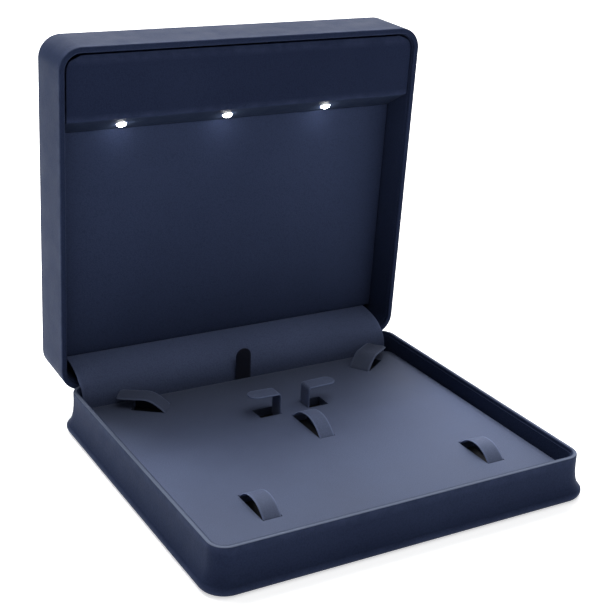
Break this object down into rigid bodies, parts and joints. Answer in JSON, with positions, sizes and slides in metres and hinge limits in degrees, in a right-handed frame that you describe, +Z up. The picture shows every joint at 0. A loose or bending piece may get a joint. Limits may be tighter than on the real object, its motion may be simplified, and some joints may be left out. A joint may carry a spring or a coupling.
{
  "type": "jewelry gift box",
  "caption": "Navy leatherette jewelry gift box with a sprung, hinged lid lit from inside and a velvet lift-out insert that holds necklace, earrings, ring and bracelet.",
  "frame": {"origin": "middle of the flat underside that the box stands on", "axes": "+Z up, +X to the right of someone facing the open box, +Y from the front towards the hinge"},
  "size_m": [0.218, 0.2251, 0.2151],
  "materials": {
    "leatherette": "grained navy leatherette",
    "suede": "short velvet pile",
    "card": "matte",
    "felt": "short felt",
    "steel": "satin",
    "spring": "satin",
    "lens": "emissive clear lens",
    "board": "solder mask",
    "plastic": "moulded",
    "cell": "polished",
    "red_wire": "insulated lead",
    "black_wire": "insulated lead"
  },
  "bodies": {
    "base": {"base_shell": "leatherette", "base_bottom_cover": "felt", "riser_frame": "card", "cover_anchor_strip": "card", "hinge_base_leaf_left": "steel", "hinge_base_leaf_right": "steel", "hinge_pin_left": "steel", "hinge_pin_right": "steel", "hinge_spring_left": "spring", "hinge_spring_right": "spring", "hinge_cover": "leatherette"},
    "insert": {"insert_board": "card", "insert_pad": "suede", "bracelet_strap_left": "suede", "bracelet_strap_right": "suede", "ring_strap": "suede", "earring_flap_left": "suede", "earring_flap_right": "suede", "necklace_tongue_left": "suede", "necklace_tongue_right": "suede", "pull_tab": "suede"},
    "lid": {"battery_holder": "plastic", "coin_cell_left": "cell", "coin_cell_right": "cell", "header_fascia": "leatherette", "hinge_lid_leaf_left": "steel", "hinge_lid_leaf_right": "steel", "led_board": "board", "led_center": "lens", "led_left": "lens", "led_right": "lens", "lid_back_panel": "leatherette", "lid_shell": "leatherette", "light_soffit": "leatherette", "light_switch_body": "plastic", "panel_spacer_left": "card", "panel_spacer_right": "card", "supply_lead": "red_wire", "switch_lead": "black_wire"},
    "switch_plunger": {"light_switch_plunger": "plastic"}
  },
  "joints": [
    {"name": "lid_hinge", "type": "hinge", "parent": "base", "child": "lid", "pos_m": [0, 0.093, 0.02415], "axis": [1, 0, 0], "range_deg": [0, 87], "deforming": ["hinge_cover", "hinge_spring_left", "hinge_spring_right"]},
    {"name": "insert_lift", "type": "slide", "parent": "base", "child": "insert", "axis": [0, 0, 1], "range_m": [0, 0.06]},
    {"name": "switch_press", "type": "slide", "parent": "lid", "child": "switch_plunger", "axis": [0, 0.9986, 0.0523], "range_m": [0, 0.0012], "stiffness_N_per_m": 100}
  ]
}
